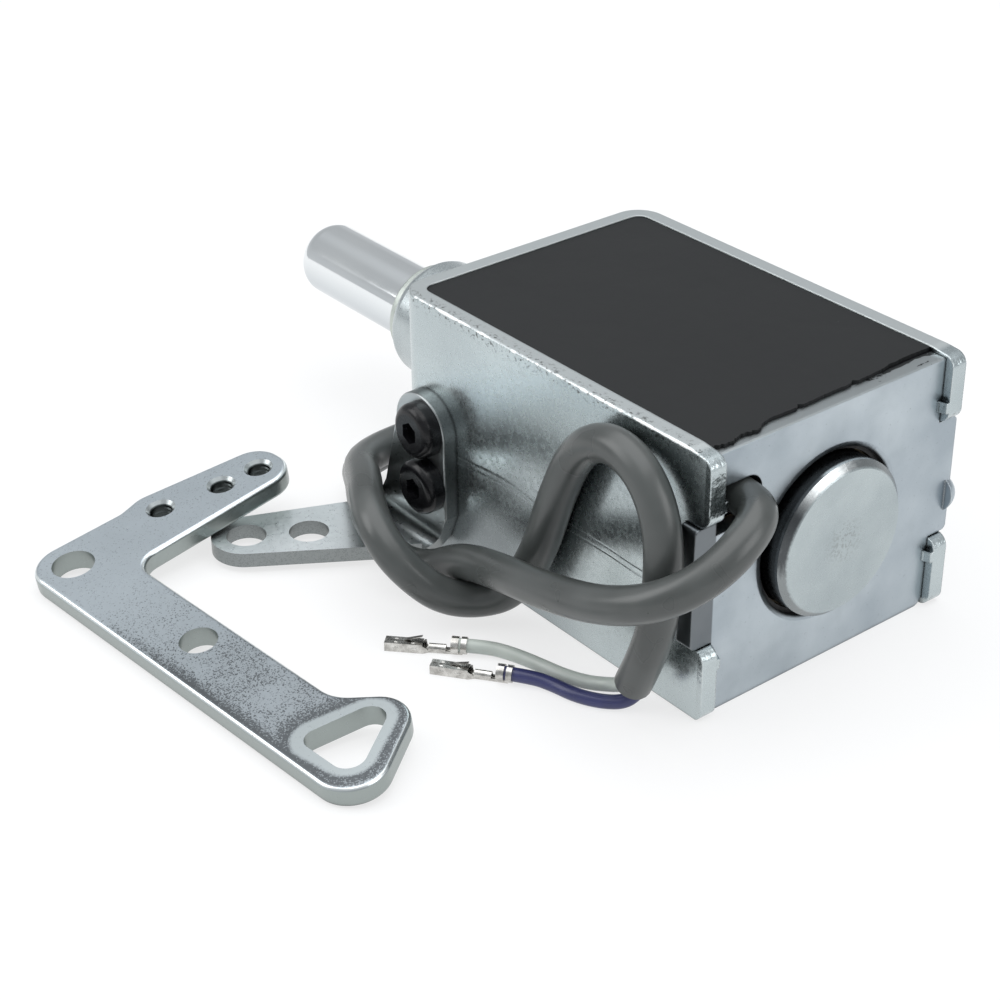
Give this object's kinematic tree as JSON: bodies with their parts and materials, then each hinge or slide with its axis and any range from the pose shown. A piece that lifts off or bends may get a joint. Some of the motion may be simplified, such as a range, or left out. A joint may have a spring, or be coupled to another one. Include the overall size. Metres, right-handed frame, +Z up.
{
  "type": "presser foot lifter solenoid",
  "caption": "Push solenoid in a folded steel frame, with a chromed rod through a long boss, a side bracket, a short grey cable with crimp terminals and a loose L-shaped lift lever.",
  "frame": {"origin": "middle of the base of the folded frame, between its two sides and its two ends", "axes": "+Z up from the base, +X along the solenoid's axis towards the armature's disc, -Y towards the bracket and the cable"},
  "size_m": [0.1283, 0.1024, 0.04],
  "materials": {
    "frame_steel": "bright zinc plating, faint score lines",
    "plate_steel": "pale blue satin zinc plating",
    "bracket_steel": "grey zinc plating",
    "lever_steel": "mottled zinc plating, rounded edges",
    "insulation_fibre": "black pressed fibre",
    "bobbin_moulding": "black moulded plastic",
    "coil_wire": "enamelled copper wire",
    "coil_tape": "thin film tape",
    "sleeve_brass": "drawn brass",
    "pole_steel": "turned and zinc plated",
    "bush_bronze": "sintered bronze",
    "armature_steel": "turned face, zinc plated",
    "rod_chrome": "hard chromed and polished",
    "stop_rubber": "black rubber",
    "screw_black": "black oxide",
    "splice_sleeve": "black shrunk sleeve",
    "cable_pvc": "satin grey sheath",
    "core_white": "pale grey insulation",
    "core_blue": "blue insulation",
    "terminal_tin": "tin plated"
  },
  "bodies": {
    "solenoid_body": {"u_frame": "frame_steel", "end_plate": "plate_steel", "bottom_insulation_sheet": "insulation_fibre", "top_insulation_sheet": "insulation_fibre", "bobbin": "bobbin_moulding", "coil_winding": "coil_wire", "coil_tape": "coil_tape", "guide_sleeve": "sleeve_brass", "pole_piece": "pole_steel", "front_rod_bush": "bush_bronze", "inner_rod_bush": "bush_bronze", "mounting_bracket": "bracket_steel", "bracket_screws": "screw_black", "lead_splices": "splice_sleeve", "cable_jacket": "cable_pvc", "core_wire_white": "core_white", "core_wire_blue": "core_blue", "crimp_terminal_white": "terminal_tin", "crimp_terminal_blue": "terminal_tin"},
    "plunger": {"armature": "armature_steel", "push_rod": "rod_chrome", "stop_washer": "stop_rubber"},
    "lever": {"lift_lever": "lever_steel"}
  },
  "joints": [
    {"name": "plunger_slide", "type": "slide", "parent": "solenoid_body", "child": "plunger", "axis": [-1, 0, 0], "range_m": [0, 0.008]},
    {"name": "lever_lift", "type": "slide", "parent": "solenoid_body", "child": "lever", "axis": [0, 0, 1], "range_m": [0, 0.06]}
  ]
}
